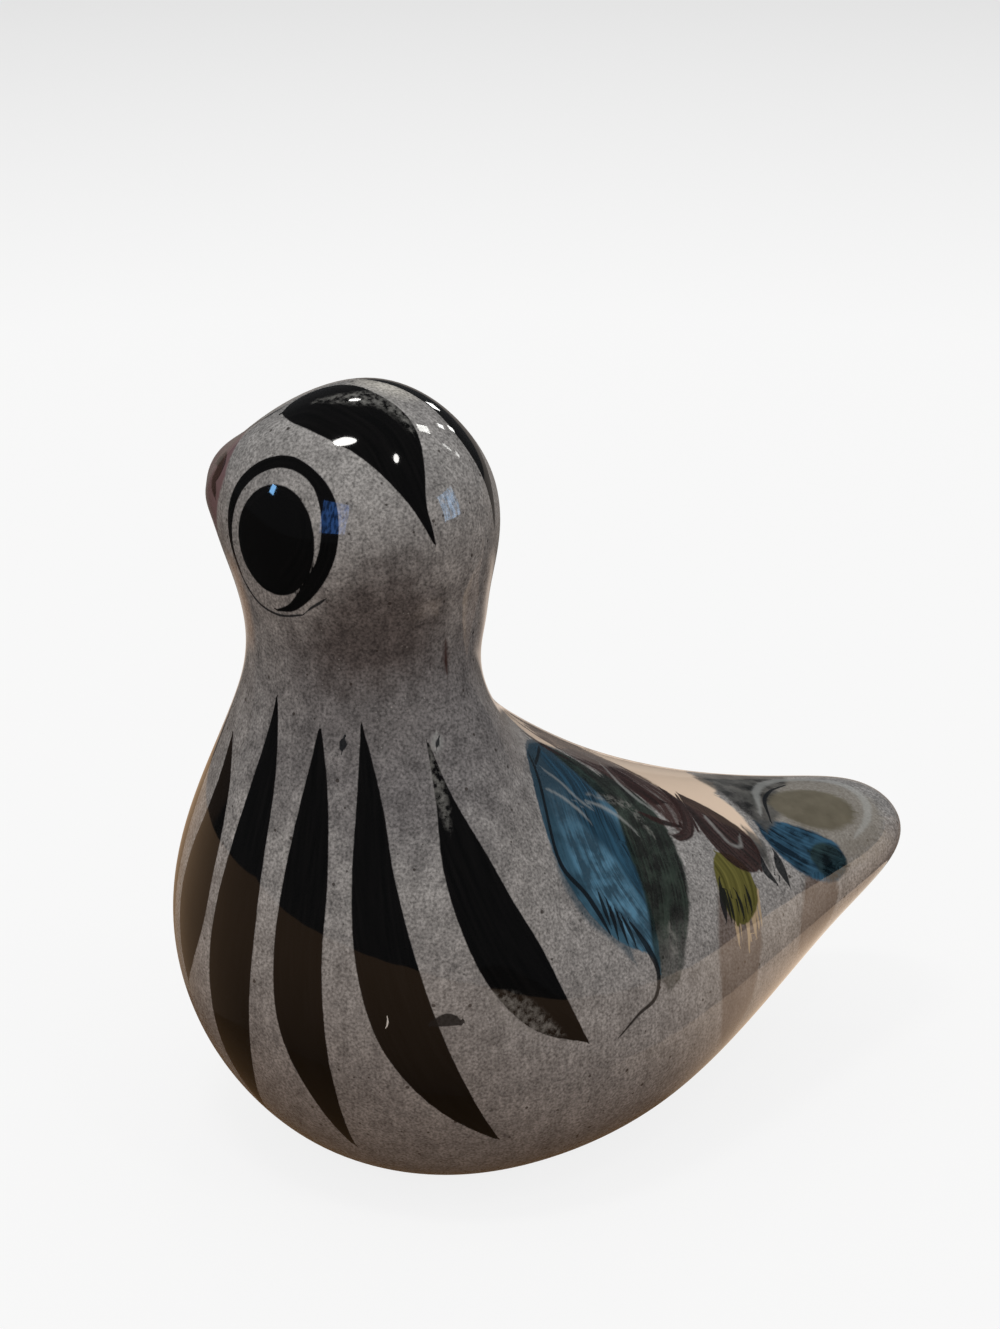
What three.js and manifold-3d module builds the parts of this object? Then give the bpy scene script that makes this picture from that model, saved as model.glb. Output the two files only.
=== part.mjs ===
// A small glazed ceramic dove, moulded in one piece, sitting on a flat foot with its head turned aside.
// Millimetres, +Z up. +X points to the breast, +Y to the bird's left, and the origin is the middle
// of the flat foot. The tail points along -X.
import * as THREE from "three";
import { NURBSCurve } from "three/addons/curves/NURBSCurve.js";
import { ParametricGeometry } from "three/addons/geometries/ParametricGeometry.js";
import { mergeVertices } from "three/addons/utils/BufferGeometryUtils.js";
import Module from "manifold-3d";

// The dove's form is one tube from the tail tip to the beak tip. Each station gives, in mm, the
// guide point of the back line and of the belly line as [x, z], half the width, and how far the
// widest place drops below the middle, as a part of the half height. The lines pass just inside
// the guide points, as a smooth curve does. All stations look straight ahead here: the head's
// turn comes after.
const STATIONS = [
  { place: "tail tip", back: [-59.5, 26], belly: [-59.5, 26], halfWidth: 0, droop: 0 },
  { place: "tail end", back: [-56.3, 29.8], belly: [-57.5, 21], halfWidth: 8, droop: 0 },
  { place: "tail", back: [-46, 31], belly: [-45, 14], halfWidth: 12, droop: 0 },
  { place: "rump", back: [-33.5, 33.4], belly: [-31.5, 4.5], halfWidth: 18.8, droop: 0 },
  { place: "hind back", back: [-20.5, 38.5], belly: [-16, -2.5], halfWidth: 26.4, droop: 0.1 },
  { place: "back", back: [-11, 44.5], belly: [1.5, -5.5], halfWidth: 30, droop: 0.1 },
  { place: "shoulders", back: [-4.8, 49.3], belly: [16.5, -4], halfWidth: 29.8, droop: 0.1 },
  { place: "low breast", back: [-2, 53.2], belly: [29.5, 8], halfWidth: 28, droop: 0 },
  { place: "breast", back: [-1.7, 57.5], belly: [35, 26], halfWidth: 22, droop: 0 },
  { place: "neck root", back: [-2.4, 62], belly: [29.5, 44], halfWidth: 14.8, droop: 0 },
  { place: "neck", back: [-3, 67], belly: [23.8, 56], halfWidth: 12.9, droop: 0 },
  { place: "nape", back: [-4.4, 73], belly: [24, 64.5], halfWidth: 14.5, droop: 0 },
  { place: "back of head", back: [-3.5, 80.5], belly: [26.3, 69], halfWidth: 15.2, droop: 0 },
  { place: "crown", back: [2.8, 87.5], belly: [27.8, 71], halfWidth: 13.6, droop: 0 },
  { place: "forehead", back: [11.3, 90], belly: [29, 72], halfWidth: 11.4, droop: 0 },
  { place: "brow", back: [19, 87], belly: [29.6, 72.5], halfWidth: 8.8, droop: 0 },
  { place: "beak root", back: [24.8, 82.2], belly: [30, 73], halfWidth: 6.2, droop: 0 },
  { place: "beak", back: [28.6, 80], belly: [30.6, 75], halfWidth: 3.8, droop: 0 },
  { place: "beak tip", back: [30.4, 78], belly: [30.4, 78], halfWidth: 0, droop: 0 },
];

// The head looks to the bird's right. The turn is about the neck's upright axis, and it grows
// smoothly with height, from nothing at the neck's root to the whole at the throat.
const HEAD_TURN_DEGREES = -60;
const NECK_AXIS_X = 10.5;
const TURN_FROM_HEIGHT = 48;
const TURN_TO_HEIGHT = 72;

// The skin's lengthwise edges run straight up the neck instead of winding round it with the turn.
// They ease over between these two stations, counted from the tail tip, and the facets stay even.
const EDGES_EASE_FROM_STATION = 7;
const EDGES_EASE_TO_STATION = 12;

// The foot is ground flat at z = 0, where the round belly would reach a few millimetres lower.
const GROUND_OFF_DEPTH = 20;
const GROUND_OFF_SIDE = 120;

const SIDES_ROUND = 48;
const RINGS_PER_STATION = 3;
const GLAZE_COLOUR = "#6b6a66";
const GLAZE_ROUGHNESS = 0.2;

const CUBIC = 3;
const LAST_STATION = STATIONS.length - 1;

// Past either tip the tube turns over, so that it closes there in a smooth round end.
function turnedOver(station) {
  return {
    back: station.belly,
    belly: station.back,
    halfWidth: -station.halfWidth,
    droop: -station.droop,
  };
}

const guides = [turnedOver(STATIONS[1]), ...STATIONS, turnedOver(STATIONS[LAST_STATION - 1])];
const knots = Array.from({ length: guides.length + CUBIC + 1 }, (_, index) => index);

// A smooth cubic line along the tube, from the tail tip at 0 to the beak tip at 1.
function lineAlong(pointOf) {
  const points = guides.map((guide) => {
    const [x, y] = pointOf(guide);
    return new THREE.Vector4(x, y, 0, 1);
  });
  return new NURBSCurve(CUBIC, knots, points, CUBIC, guides.length);
}

const backLine = lineAlong((guide) => guide.back);
const bellyLine = lineAlong((guide) => guide.belly);
const breadthLine = lineAlong((guide) => [guide.halfWidth, guide.droop]);

// A point of the skin: around runs once round the section from the back line, over the bird's
// right side, under the belly and up the left side.
function skinPoint(around, along, target) {
  const headTurn = THREE.MathUtils.degToRad(HEAD_TURN_DEGREES);
  const station = along * LAST_STATION;
  const easedOver = THREE.MathUtils.smootherstep(
    station,
    EDGES_EASE_FROM_STATION,
    EDGES_EASE_TO_STATION,
  );
  const angle = 2 * Math.PI * (around % 1) - headTurn * easedOver;
  const back = backLine.getPoint(along);
  const belly = bellyLine.getPoint(along);
  const breadth = breadthLine.getPoint(along);
  const upward = Math.cos(angle);
  const x = (back.x + belly.x) / 2 + ((back.x - belly.x) / 2) * upward;
  const z = (back.y + belly.y) / 2 + ((back.y - belly.y) / 2) * upward;
  const y = -breadth.x * Math.sin(angle) * (1 - breadth.y * upward);
  const shareOfTurn = THREE.MathUtils.smootherstep(z, TURN_FROM_HEIGHT, TURN_TO_HEIGHT);
  const turn = headTurn * shareOfTurn;
  const reach = x - NECK_AXIS_X;
  target.set(
    NECK_AXIS_X + reach * Math.cos(turn) - y * Math.sin(turn),
    reach * Math.sin(turn) + y * Math.cos(turn),
    z,
  );
}

// Shared vertices only, without the triangles that shrink to a line at the two tips.
function closedBody(geometry) {
  geometry.deleteAttribute("normal");
  geometry.deleteAttribute("uv");
  const merged = mergeVertices(geometry);
  const corners = merged.index.array;
  const kept = [];
  for (let first = 0; first < corners.length; first += 3) {
    const [a, b, c] = corners.slice(first, first + 3);
    if (a !== b && b !== c && c !== a) {
      kept.push(a, b, c);
    }
  }
  merged.setIndex(kept);
  return merged;
}

const wasm = await Module();
wasm.setup();

function solidOf(geometry) {
  const body = closedBody(geometry);
  return new wasm.Manifold(
    new wasm.Mesh({
      numProp: 3,
      vertProperties: new Float32Array(body.attributes.position.array),
      triVerts: new Uint32Array(body.index.array),
    }),
  );
}

function geometryOf(solid) {
  const mesh = solid.getMesh();
  const geometry = new THREE.BufferGeometry();
  geometry.setAttribute("position", new THREE.BufferAttribute(mesh.vertProperties, mesh.numProp));
  geometry.setIndex(new THREE.BufferAttribute(mesh.triVerts, 1));
  geometry.computeVertexNormals();
  return geometry;
}

function doveGeometry() {
  const rings = RINGS_PER_STATION * LAST_STATION;
  const wholeForm = new ParametricGeometry(skinPoint, SIDES_ROUND, rings);
  const groundOff = new THREE.BoxGeometry(GROUND_OFF_SIDE, GROUND_OFF_SIDE, GROUND_OFF_DEPTH);
  groundOff.translate(0, 0, -GROUND_OFF_DEPTH / 2);
  return geometryOf(solidOf(wholeForm).subtract(solidOf(groundOff)));
}

const glaze = new THREE.MeshStandardMaterial({
  color: GLAZE_COLOUR,
  roughness: GLAZE_ROUGHNESS,
  metalness: 0,
});

const dove = new THREE.Mesh(doveGeometry(), glaze);
dove.name = "dove";

const figurine = new THREE.Group();
figurine.add(dove);

export default figurine;
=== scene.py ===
import math

import bpy
import numpy as np
from mathutils import Matrix, Vector


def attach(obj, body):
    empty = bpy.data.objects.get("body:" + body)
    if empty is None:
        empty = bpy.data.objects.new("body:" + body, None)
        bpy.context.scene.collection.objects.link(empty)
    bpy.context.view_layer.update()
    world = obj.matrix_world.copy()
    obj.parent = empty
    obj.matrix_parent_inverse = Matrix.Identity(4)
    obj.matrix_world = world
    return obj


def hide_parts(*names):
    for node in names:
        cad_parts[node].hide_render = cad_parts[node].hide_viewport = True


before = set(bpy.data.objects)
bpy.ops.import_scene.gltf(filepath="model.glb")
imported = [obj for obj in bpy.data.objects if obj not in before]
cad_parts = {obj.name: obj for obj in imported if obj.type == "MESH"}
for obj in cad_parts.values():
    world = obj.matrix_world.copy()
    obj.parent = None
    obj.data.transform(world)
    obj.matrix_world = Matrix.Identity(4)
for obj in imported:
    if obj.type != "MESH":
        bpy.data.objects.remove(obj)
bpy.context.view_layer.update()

# The dove is one hollow casting of fine stoneware, pressed or slip-cast in a two-part mould, with
# the seams wiped away. Its form is a tube of smooth ovals from the tail tip to the beak tip, and
# the head turns to the bird's right. Lengths are millimetres here, +X breast, +Y left, +Z up.
MILLIMETRE = 0.001
SIDES_ROUND = 352
RINGS_ALONG = 280
STEPS_PER_STATION = 200
HEAD_TURN = math.radians(-60)
NECK_AXIS_X = 10.5
TURN_FROM_HEIGHT = 48
TURN_TO_HEIGHT = 72
EDGES_EASE_FROM_STATION = 7
EDGES_EASE_TO_STATION = 12
FOOT_EDGE_SOFTNESS = 1.0

# Each guide gives the back line's x and z, the belly line's x and z, half the width, and how far
# the widest place drops below the middle as a part of the half height.
DOVE_GUIDES = np.array(
    [
        (-59.5, 26.0, -59.5, 26.0, 0.0, 0.0),  # tail tip
        (-56.3, 29.8, -57.5, 21.0, 8.0, 0.0),  # tail end
        (-46.0, 31.0, -45.0, 14.0, 12.0, 0.0),  # tail
        (-33.5, 33.4, -31.5, 4.5, 18.8, 0.0),  # rump
        (-20.5, 38.5, -16.0, -2.5, 26.4, 0.1),  # hind back
        (-11.0, 44.5, 1.5, -5.5, 30.0, 0.1),  # back
        (-4.8, 49.3, 16.5, -4.0, 29.8, 0.1),  # shoulders
        (-2.0, 53.2, 29.5, 8.0, 28.0, 0.0),  # low breast
        (-1.7, 57.5, 35.0, 26.0, 22.0, 0.0),  # breast
        (-2.4, 62.0, 29.5, 44.0, 14.8, 0.0),  # neck root
        (-3.0, 67.0, 23.8, 56.0, 12.9, 0.0),  # neck
        (-4.4, 73.0, 24.0, 64.5, 14.5, 0.0),  # nape
        (-3.5, 80.5, 26.3, 69.0, 15.2, 0.0),  # back of head
        (2.8, 87.5, 27.8, 71.0, 13.6, 0.0),  # crown
        (11.3, 90.0, 29.0, 72.0, 11.4, 0.0),  # forehead
        (19.0, 87.0, 29.6, 72.5, 8.8, 0.0),  # brow
        (24.8, 82.2, 30.0, 73.0, 6.2, 0.0),  # beak root
        (28.6, 80.0, 30.6, 75.0, 3.8, 0.0),  # beak
        (30.4, 78.0, 30.4, 78.0, 0.0, 0.0),  # beak tip
    ]
)
LAST_STATION = len(DOVE_GUIDES) - 1


def turned_over(guide):
    """The guide with back and belly exchanged and its width and droop negative."""
    return guide[[2, 3, 0, 1, 4, 5]] * (1, 1, 1, 1, -1, -1)


closed_guides = np.vstack([turned_over(DOVE_GUIDES[1]), DOVE_GUIDES, turned_over(DOVE_GUIDES[-2])])


def guide_along(station):
    """The guide values at each station, as a uniform cubic B-spline.

    With f the part of the way past the last whole station, the four guides around it weigh
    (1-f)^3, 3f^3 - 6f^2 + 4, -3f^3 + 3f^2 + 3f + 1 and f^3, and the sum is divided by 6.
    """
    first = np.minimum(station.astype(int), LAST_STATION - 1)
    f = (station - first)[:, None]
    total = (1 - f) ** 3 * closed_guides[first]
    total += (3 * f**3 - 6 * f**2 + 4) * closed_guides[first + 1]
    total += (-3 * f**3 + 3 * f**2 + 3 * f + 1) * closed_guides[first + 2]
    total += f**3 * closed_guides[first + 3]
    return total / 6


def eased(value, low, high):
    """0 up to low, 1 from high on, and 6u^5 - 15u^4 + 10u^3 between, u being the share of the way."""
    share = np.clip((value - low) / (high - low), 0, 1)
    return share**3 * (share * (6 * share - 15) + 10)


def form_ahead(station, angle):
    """Skin points with the head still looking ahead, one row of points for each station.

    The oval's middle and half height come from the back and belly lines. The reach to the side is
    half the width times sin(angle) times 1 - droop cos(angle), and the angle starts at the back.
    """
    back_x, back_z, belly_x, belly_z, half_width, droop = guide_along(station).T[:, :, None]
    upward = np.cos(angle)
    x = (back_x + belly_x) / 2 + (back_x - belly_x) / 2 * upward
    y = -half_width * np.sin(angle) * (1 - droop * upward)
    z = (back_z + belly_z) / 2 + (back_z - belly_z) / 2 * upward
    return np.stack([x, y, z], axis=-1)


def head_turned(points):
    """The points turned about the neck's upright axis, by the head's turn eased in with height."""
    turn = HEAD_TURN * eased(points[..., 2], TURN_FROM_HEIGHT, TURN_TO_HEIGHT)
    reach = points[..., 0] - NECK_AXIS_X
    side = points[..., 1]
    x = NECK_AXIS_X + reach * np.cos(turn) - side * np.sin(turn)
    y = reach * np.sin(turn) + side * np.cos(turn)
    return np.stack([x, y, points[..., 2]], axis=-1)


# The rings stand evenly along the mean of the back, belly and side lines.
fine_stations = np.linspace(0, LAST_STATION, STEPS_PER_STATION * LAST_STATION + 1)
side_lines = form_ahead(fine_stations, np.arange(4) * math.pi / 2)
steps_along = np.linalg.norm(np.diff(side_lines, axis=0), axis=2).mean(axis=1)
lengths_along = np.concatenate([[0], np.cumsum(steps_along)])
even_lengths = np.linspace(0, lengths_along[-1], RINGS_ALONG + 2)[1:-1]
ring_stations = np.interp(even_lengths, lengths_along, fine_stations)
ring_offset = HEAD_TURN * eased(ring_stations, EDGES_EASE_FROM_STATION, EDGES_EASE_TO_STATION)
ring_angles = np.arange(SIDES_ROUND) * 2 * math.pi / SIDES_ROUND - ring_offset[:, None]
rings_ahead = form_ahead(ring_stations, ring_angles).reshape(-1, 3)
tips_ahead = form_ahead(np.array([0, LAST_STATION]), np.zeros(1)).reshape(-1, 3)
points_ahead = np.vstack([rings_ahead, tips_ahead])

# The foot's edge eases into the flat of the foot: z becomes s ln(1 + exp(z / s)).
skin_points = head_turned(points_ahead)
skin_points[:, 2] = FOOT_EDGE_SOFTNESS * np.logaddexp(0, skin_points[:, 2] / FOOT_EDGE_SOFTNESS)

ring_start = np.arange(RINGS_ALONG)[:, None] * SIDES_ROUND
here = ring_start + np.arange(SIDES_ROUND)
beside = ring_start + (np.arange(SIDES_ROUND) + 1) % SIDES_ROUND
quads = np.stack([here[:-1], beside[:-1], beside[1:], here[1:]], axis=-1).reshape(-1, 4)
tail_tip = np.full(SIDES_ROUND, RINGS_ALONG * SIDES_ROUND)
beak_tip = tail_tip + 1
tail_fan = np.stack([tail_tip, beside[0], here[0]], axis=-1)
beak_fan = np.stack([beak_tip, here[-1], beside[-1]], axis=-1)

dove_mesh = bpy.data.meshes.new("painted dove")
dove_faces = quads.tolist() + tail_fan.tolist() + beak_fan.tolist()
dove_mesh.from_pydata(skin_points * MILLIMETRE, [], dove_faces)
dove_mesh.shade_smooth()
painted_dove = bpy.data.objects.new("painted_dove", dove_mesh)
bpy.context.scene.collection.objects.link(painted_dove)

skin_normals = np.empty(len(skin_points) * 3)
dove_mesh.vertex_normals.foreach_get("vector", skin_normals)
skin_normals = skin_normals.reshape(-1, 3)

# The marks are slips and metal oxides laid freehand with soft pointed brushes under the glaze.
# A stroke is a few guides along its middle, each x, y, z and half width, and it lies on the skin.
# Each colour is one layer, kept as how deep a point lies inside a stroke, how far it is across
# the stroke, and the half width there, all in millimetres. The brush place is how far across and
# along a stroke a point lies, and a number that gives each stroke bristle marks of its own.
STEPS_BETWEEN_GUIDES = 8
NEAREST_POINTS = 4
FAR_OUTSIDE = -3.0
FAR_ACROSS = 9.0
BESIDE_STROKE = 2.5
OTHER_SIDE = 4.0
BRISTLES_APART = 7.0
paint_layers = {}
brush_place = np.zeros((len(skin_points), 3))
brush_depth = np.full(len(skin_points), FAR_OUTSIDE)
strokes_laid = []


def on_skin(points):
    """The points moved onto the skin: the mean of the nearest skin points by 1 / distance^2."""
    gaps = np.linalg.norm(skin_points - points[:, None], axis=2)
    nearest = np.argpartition(gaps, NEAREST_POINTS, axis=1)[:, :NEAREST_POINTS]
    weights = 1 / (np.take_along_axis(gaps, nearest, axis=1) ** 2 + 1e-6)
    weights /= weights.sum(axis=1, keepdims=True)
    return (skin_points[nearest] * weights[:, :, None]).sum(axis=1)


def smooth_line(rows):
    """Catmull-Rom curve through the rows.

    Between rows b and c, with neighbours a and d and f the part of the way, the curve is
    (2b + (c - a) f + (2a - 5b + 4c - d) f^2 + (3b - a - 3c + d) f^3) / 2.
    """
    ends = [2 * rows[:1] - rows[1:2], rows, 2 * rows[-1:] - rows[-2:-1]]
    padded = np.vstack(ends)
    a, b, c, d = (padded[k : len(padded) - 3 + k, None] for k in range(4))
    f = (np.arange(STEPS_BETWEEN_GUIDES) / STEPS_BETWEEN_GUIDES)[:, None]
    curve = 2 * b + (c - a) * f + (2 * a - 5 * b + 4 * c - d) * f**2 + (3 * b - a - 3 * c + d) * f**3
    return np.vstack([curve.reshape(-1, rows.shape[1]) / 2, rows[-1:]])


def lay_stroke(layer, guides):
    """Lays one stroke into a layer, keeping the deeper of what is there and the new stroke.

    The depth is the half width less the distance to the middle line, measured in the plane that
    touches the skin, for the piece of the line where that is greatest.
    """
    guides = np.array(guides, float)
    guides[:, :3] = on_skin(guides[:, :3])
    line = smooth_line(guides)
    middle = line[:, :3]
    room = line[:, 3].max() + BESIDE_STROKE
    near_low = (skin_points > middle.min(axis=0) - room).all(axis=1)
    near_high = (skin_points < middle.max(axis=0) + room).all(axis=1)
    touched = np.flatnonzero(near_low & near_high)
    steps = np.diff(middle, axis=0)
    lengths = np.linalg.norm(steps, axis=1)
    reached = np.concatenate([[0], np.cumsum(lengths)[:-1]])
    from_start = skin_points[touched][:, None] - middle[:-1]
    share = np.clip((from_start * steps).sum(axis=2) / lengths**2, 0, 1)
    gap = from_start - share[:, :, None] * steps
    normal = skin_normals[touched][:, None]
    height = (gap * normal).sum(axis=2)
    distance = np.sqrt(np.maximum((gap**2).sum(axis=2) - height**2, 0))
    half_width = line[:-1, 3] + share * np.diff(line[:, 3])
    depth = np.where(np.abs(height) < OTHER_SIDE, half_width - distance, FAR_OUTSIDE)
    best = depth.argmax(axis=1)
    row = np.arange(len(touched))
    leftward = np.cross(normal[:, 0], steps[best] / lengths[best, None])
    sideways = (gap[row, best] * leftward).sum(axis=1)
    across = np.copysign(distance[row, best], sideways)
    depth = np.maximum(depth[row, best], FAR_OUTSIDE)
    laid = np.stack([depth, across, half_width[row, best]], axis=1)
    along = reached[best] + share[row, best] * lengths[best]
    strokes_laid.append(layer)
    own_bristles = np.full(len(touched), len(strokes_laid) * BRISTLES_APART)
    place = np.stack([sideways, along, own_bristles], axis=1)
    if layer not in paint_layers:
        paint_layers[layer] = np.tile([FAR_OUTSIDE, FAR_ACROSS, 0.0], (len(skin_points), 1))
    deeper = depth > paint_layers[layer][touched, 0]
    paint_layers[layer][touched[deeper]] = laid[deeper]
    nearer = depth > brush_depth[touched]
    brush_place[touched[nearer]] = place[nearer]
    brush_depth[touched[nearer]] = depth[nearer]


def lay_both_sides(layer, guides):
    """Lays the stroke on the bird's left and its mirror on the right, in the body's frame."""
    lay_stroke(layer, guides)
    lay_stroke(layer, np.array(guides) * (1, -1, 1, 1))


def on_head(guides):
    """Stroke guides given with the head looking ahead, carried round with the head's turn."""
    guides = np.array(guides, float)
    guides[:, :3] = head_turned(guides[:, :3])
    return guides


def lay_both_sides_of_head(layer, guides):
    """Lays the stroke on the left of the head and its mirror on the right."""
    lay_stroke(layer, on_head(guides))
    lay_stroke(layer, on_head(np.array(guides) * (1, -1, 1, 1)))


# The breast's nine long feathers are strokes of black slip. The brush lands on a point at the
# throat, is pressed down over the breast and lifts off to a point above the foot.
lay_both_sides(
    "black",
    [
        (23.5, 5.3, 56.9, 0.1),
        (25.8, 6.8, 48.7, 1.6),
        (28.7, 8.2, 40.7, 2.6),
        (30.9, 9.1, 32.5, 3.4),
        (31.6, 8.9, 24.1, 3.4),
        (30.4, 7.7, 15.9, 2.7),
        (27.2, 5.8, 8.4, 0.7),
        (26.4, 5.2, 6.4, 0.1),
    ],
)
lay_both_sides(
    "black",
    [
        (20.7, 10.5, 54.8, 0.2),
        (22.5, 13.1, 46.9, 1.7),
        (24.9, 15.6, 39.2, 2.7),
        (26.5, 17.3, 31.1, 3.0),
        (26.6, 18.1, 22.8, 2.9),
        (24.3, 18.6, 14.8, 1.7),
        (20.5, 17.7, 7.4, 0.2),
    ],
)
lay_both_sides(
    "black",
    [
        (16.9, 13.0, 55.7, 0.1),
        (17.6, 16.6, 47.8, 1.4),
        (18.9, 20.6, 40.3, 2.4),
        (19.0, 24.0, 32.3, 3.3),
        (17.3, 26.3, 24.2, 3.4),
        (13.2, 27.6, 16.7, 2.2),
        (7.7, 27.4, 10.2, 0.2),
    ],
)
lay_both_sides(
    "black",
    [
        (10.5, 16.1, 53.6, 0.1),
        (10.1, 19.7, 48.1, 1.0),
        (9.5, 23.5, 42.5, 2.5),
        (8.0, 26.3, 36.8, 3.4),
        (5.5, 28.0, 31.1, 3.7),
        (2.3, 29.1, 25.7, 2.6),
        (-2.1, 29.6, 21.2, 0.2),
    ],
)
lay_stroke(
    "black",
    [
        (26.4, -1.2, 50.7, 0.2),
        (28.2, 0.5, 46.4, 1.4),
        (29.9, 1.1, 41.6, 2.4),
        (31.5, 0.8, 36.8, 3.3),
        (32.6, 0.5, 31.8, 3.6),
        (33.2, 0.0, 26.9, 2.3),
        (32.9, -0.8, 22.2, 0.3),
    ],
)

# The crown carries two broad black patches that part over the middle, and each runs back to a
# point, the left one behind the eye and the right one nearer the nape. A sliver marks the brow,
# and the left patch is rubbed along its inner edge.
lay_stroke(
    "black",
    on_head(
        [
            (16.3, 6.5, 86.6, 0.4),
            (12.8, 5.1, 88.1, 3.8),
            (8.4, 5.2, 87.9, 4.2),
            (4.3, 5.2, 86.3, 3.8),
            (1.1, 5.9, 83.3, 2.4),
            (-1.4, 6.3, 79.6, 0.9),
            (-2.8, 5.7, 75.5, 0.15),
        ]
    ),
)
lay_stroke(
    "black",
    on_head(
        [
            (16.3, -6.5, 86.6, 0.4),
            (12.8, -5.8, 88.1, 3.8),
            (8.4, -6.6, 87.8, 4.0),
            (4.3, -7.0, 86.0, 3.7),
            (1.1, -6.0, 84.2, 2.6),
            (-1.2, -5.4, 81.6, 1.6),
            (-2.6, -4.9, 78.4, 0.8),
            (-3.4, -4.6, 74.6, 0.15),
        ]
    ),
)
lay_both_sides_of_head(
    "line",
    [
        (17.2, 5.4, 86.6, 0.1),
        (19.2, 6.2, 85.3, 0.35),
        (21.3, 6.1, 83.9, 0.3),
        (23.2, 6.2, 82.3, 0.05),
    ],
)
lay_stroke(
    "worn",
    on_head(
        [
            (12.6, 5.2, 88.2, 0.3),
            (9.7, 3.4, 88.6, 1.1),
            (7.0, 1.9, 88.4, 1.3),
            (4.8, 1.7, 87.5, 1.0),
            (2.6, 2.4, 86.0, 0.3),
        ]
    ),
)

# Each eye is a black oval in a black ring. The ring was drawn with one turn of the brush that
# starts thin at the front, thickens behind the eye and stops short, and a hairline closes it.
lay_both_sides_of_head(
    "black",
    [
        (12.6, 14.0, 67.3, 0.1),
        (9.9, 14.3, 68.4, 0.5),
        (7.2, 14.2, 70.8, 0.85),
        (5.5, 13.9, 73.6, 0.9),
        (5.1, 13.3, 76.6, 0.95),
        (5.9, 12.5, 79.8, 0.9),
        (8.2, 11.9, 82.2, 0.65),
        (11.6, 11.8, 83.15, 0.7),
        (15.0, 12.1, 82.3, 0.7),
        (17.5, 12.6, 79.9, 0.7),
        (18.8, 13.1, 76.6, 0.6),
        (18.6, 13.3, 73.1, 0.35),
        (17.4, 13.2, 70.0, 0.2),
    ],
)
lay_both_sides_of_head(
    "line",
    [
        (18.4, 13.2, 72.0, 0.12),
        (17.1, 13.2, 69.4, 0.15),
        (15.5, 13.4, 67.3, 0.15),
        (12.7, 13.9, 66.9, 0.15),
        (9.4, 14.1, 67.5, 0.12),
    ],
)
lay_both_sides_of_head("line", [(8.0, 14.0, 68.2, 0.15), (6.1, 13.7, 69.5, 0.15)])
PUPIL_MIDDLE = (11.85, 75.1)
PUPIL_HALF_SIZE = (5.25, 5.9)
pupil_gap = (points_ahead[:, [0, 2]] - PUPIL_MIDDLE) / PUPIL_HALF_SIZE
pupil_depth = (1 - np.linalg.norm(pupil_gap, axis=1)) * PUPIL_HALF_SIZE[0]
pupil_depth[np.abs(points_ahead[:, 1]) < 6] = FAR_OUTSIDE
pupil = np.stack([pupil_depth, np.zeros_like(pupil_depth), pupil_depth], axis=1)
in_pupil = pupil_depth > paint_layers["black"][:, 0]
paint_layers["black"][in_pupil] = pupil[in_pupil]

# The beak is dipped in a thin manganese wash that goes on mauve, and a darker plum stroke of the
# same wash runs round it where the beak meets the face.
EDGE_HEIGHTS = [70, 75.8, 79.8, 83.2, 87]
EDGE_REACHES = [23.5, 22.0, 20.9, 21.3, 24.0]
beak_edge = np.interp(points_ahead[:, 2], EDGE_HEIGHTS, EDGE_REACHES)
beak_depth = np.clip(points_ahead[:, 0] - beak_edge, FAR_OUTSIDE, 3)
beak_depth[points_ahead[:, 2] < 68] = FAR_OUTSIDE
paint_layers["mauve"] = np.stack([beak_depth, np.zeros_like(beak_depth), beak_depth], axis=1)
lay_both_sides_of_head(
    "plum",
    [
        (25.5, 7.2, 79.4, 0.3),
        (23.9, 8.2, 80.4, 0.9),
        (22.6, 9.8, 80.2, 1.0),
        (23.4, 9.9, 78.6, 0.9),
        (22.6, 10.6, 77.4, 0.5),
    ],
)

# The back's middle, from the neck to the root of the tail, is cream slip, and it reaches down to
# a point on either side between the wing and the tail. The feathers are painted over its edges.
lay_stroke(
    "cream",
    [
        (-3.5, 1.2, 51.0, 1.6),
        (-7.5, 1.6, 47.2, 4.4),
        (-12.0, -1.0, 43.5, 3.6),
        (-17.5, -2.4, 40.2, 2.6),
        (-21.5, -2.0, 38.4, 3.8),
        (-25.0, -1.0, 36.8, 5.2),
        (-28.5, 0.0, 35.8, 5.0),
        (-31.5, 0.0, 34.6, 2.2),
    ],
)
lay_both_sides(
    "cream",
    [
        (-26.0, 2.0, 36.8, 3.6),
        (-29.5, 5.4, 34.8, 3.2),
        (-31.8, 8.0, 33.3, 1.9),
        (-33.0, 9.8, 32.3, 0.9),
        (-33.8, 11.4, 31.1, 0.2),
    ],
)

# Each wing is a fan of colours laid side by side: a broad cobalt-blue feather with a loose dark
# outline, a green feather that ends in a thin curve, and plum feathers up on the back.
lay_both_sides(
    "blue",
    [
        (-6.3, 8.4, 46.7, 1.1),
        (-8.1, 11.9, 43.6, 6.2),
        (-8.0, 16.7, 40.5, 6.7),
        (-8.4, 20.6, 36.6, 5.6),
        (-10.2, 23.2, 32.3, 3.8),
        (-12.6, 24.8, 28.0, 0.9),
        (-12.9, 25.6, 25.4, 0.1),
    ],
)
lay_both_sides(
    "wash",
    [
        (-3.4, 13.0, 46.4, 0.2),
        (-3.0, 17.3, 42.6, 0.8),
        (-3.2, 21.4, 38.2, 1.3),
        (-5.2, 23.8, 33.9, 1.4),
        (-8.4, 25.4, 30.2, 0.9),
        (-9.6, 26.2, 27.6, 0.1),
    ],
)
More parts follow.
